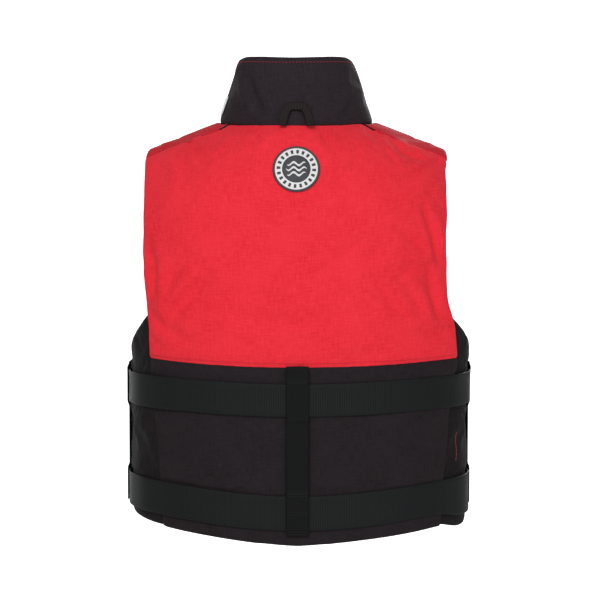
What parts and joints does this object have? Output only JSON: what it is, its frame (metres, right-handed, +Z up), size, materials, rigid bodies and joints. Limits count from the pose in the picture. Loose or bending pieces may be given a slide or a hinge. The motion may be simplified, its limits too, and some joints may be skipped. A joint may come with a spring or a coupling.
{
  "type": "life jacket",
  "caption": "Foam life jacket with a stand-up collar, front zip, webbing belts with side-release buckles and cargo pockets; keeps a boater afloat in the water.",
  "frame": {"origin": "on the wearer's vertical axis, level with the lowest point of the back hem; this is the wearer_torso mount", "axes": "+Z up along the wearer's spine, -Y the way the wearer faces, +X to the wearer's left"},
  "size_m": [0.4198, 0.3199, 0.5671],
  "materials": {
    "red_fabric": "matt nylon weave, crimson",
    "black_fabric": "matt nylon weave, near black",
    "lining_fabric": "smooth black nylon lining",
    "webbing": "ribbed nylon webbing, black",
    "reflective_fabric": "silver retro-reflective tape",
    "foam": "closed-cell foam, pale",
    "black_plastic": "moulded acetal, black",
    "badge_rubber": "soft moulded badge in grey and white",
    "ring_metal": "bright plated steel wire"
  },
  "bodies": {
    "back": {"back_yoke": "red_fabric", "back_lower_panel": "black_fabric", "back_lining": "lining_fabric", "back_foam_centre": "foam", "back_keeper_strap": "webbing", "badge": "badge_rubber", "collar_shell": "black_fabric", "collar_foam_centre": "foam", "collar_lining": "lining_fabric", "hang_loop": "webbing", "upper_belt": "webbing", "lower_belt": "webbing"},
    "left_half": {"left_back_foam": "foam", "left_collar_foam": "foam", "left_reflective_tape": "reflective_fabric", "left_side_panel": "black_fabric", "left_side_foam": "foam", "left_side_lining": "lining_fabric", "left_front_yoke": "red_fabric", "left_front_panel": "black_fabric", "left_front_foam": "foam", "left_front_lining": "lining_fabric", "left_side_keeper": "webbing", "left_zip_tape": "webbing", "left_zip_teeth": "black_plastic", "left_zip_stop": "black_plastic", "left_pocket": "black_fabric", "zip_pin": "black_plastic", "upper_buckle_plug": "black_plastic", "lower_buckle_plug": "black_plastic"},
    "right_half": {"right_back_foam": "foam", "right_collar_foam": "foam", "right_reflective_tape": "reflective_fabric", "right_side_panel": "black_fabric", "right_side_foam": "foam", "right_side_lining": "lining_fabric", "right_front_yoke": "red_fabric", "right_front_panel": "black_fabric", "right_front_foam": "foam", "right_front_lining": "lining_fabric", "right_side_keeper": "webbing", "right_zip_tape": "webbing", "right_zip_teeth": "black_plastic", "right_zip_stop": "black_plastic", "right_pocket": "black_fabric", "zip_box": "black_plastic", "upper_buckle_socket": "black_plastic", "lower_buckle_socket": "black_plastic", "d_ring_tab": "webbing"},
    "left_flap": {"left_pocket_flap": "black_fabric"},
    "right_flap": {"right_pocket_flap": "black_fabric"},
    "slider": {"zip_slider": "black_plastic", "zip_pull_pin": "black_plastic"},
    "pull": {"zip_pull": "black_plastic"},
    "chest_ring": {"d_ring": "ring_metal"}
  },
  "joints": [
    {"name": "left_half_open", "type": "hinge", "parent": "back", "child": "left_half", "pos_m": [0.031, 0.146, 0.2], "axis": [0, 0, 1], "range_deg": [0, 20], "deforming": ["back_yoke", "back_lower_panel", "back_lining", "collar_shell", "collar_lining", "upper_belt", "lower_belt"]},
    {"name": "right_half_open", "type": "hinge", "parent": "back", "child": "right_half", "pos_m": [-0.031, 0.146, 0.2], "axis": [0, 0, -1], "range_deg": [0, 20], "deforming": ["back_yoke", "back_lower_panel", "back_lining", "collar_shell", "collar_lining", "upper_belt", "lower_belt"]},
    {"name": "zip_slide", "type": "slide", "parent": "right_half", "child": "slider", "axis": [0, -0.0896, -0.996], "range_m": [0, 0.44], "deforming": ["left_zip_teeth", "right_zip_teeth"]},
    {"name": "pull_swing", "type": "hinge", "parent": "slider", "child": "pull", "pos_m": [0, -0.10376, 0.48851], "axis": [-1, 0, 0], "range_deg": [0, 150]},
    {"name": "left_flap_lift", "type": "hinge", "parent": "left_half", "child": "left_flap", "pos_m": [0.09799, -0.13201, 0.13654], "axis": [-0.9563, -0.2924, 0], "range_deg": [0, 85]},
    {"name": "right_flap_lift", "type": "hinge", "parent": "right_half", "child": "right_flap", "pos_m": [-0.09799, -0.13201, 0.13654], "axis": [-0.9563, 0.2924, 0], "range_deg": [0, 85]},
    {"name": "chest_ring_swing", "type": "hinge", "parent": "right_half", "child": "chest_ring", "pos_m": [-0.09741, -0.12053, 0.30067], "axis": [-0.9659, 0.2588, 0], "range_deg": [0, 100]}
  ]
}
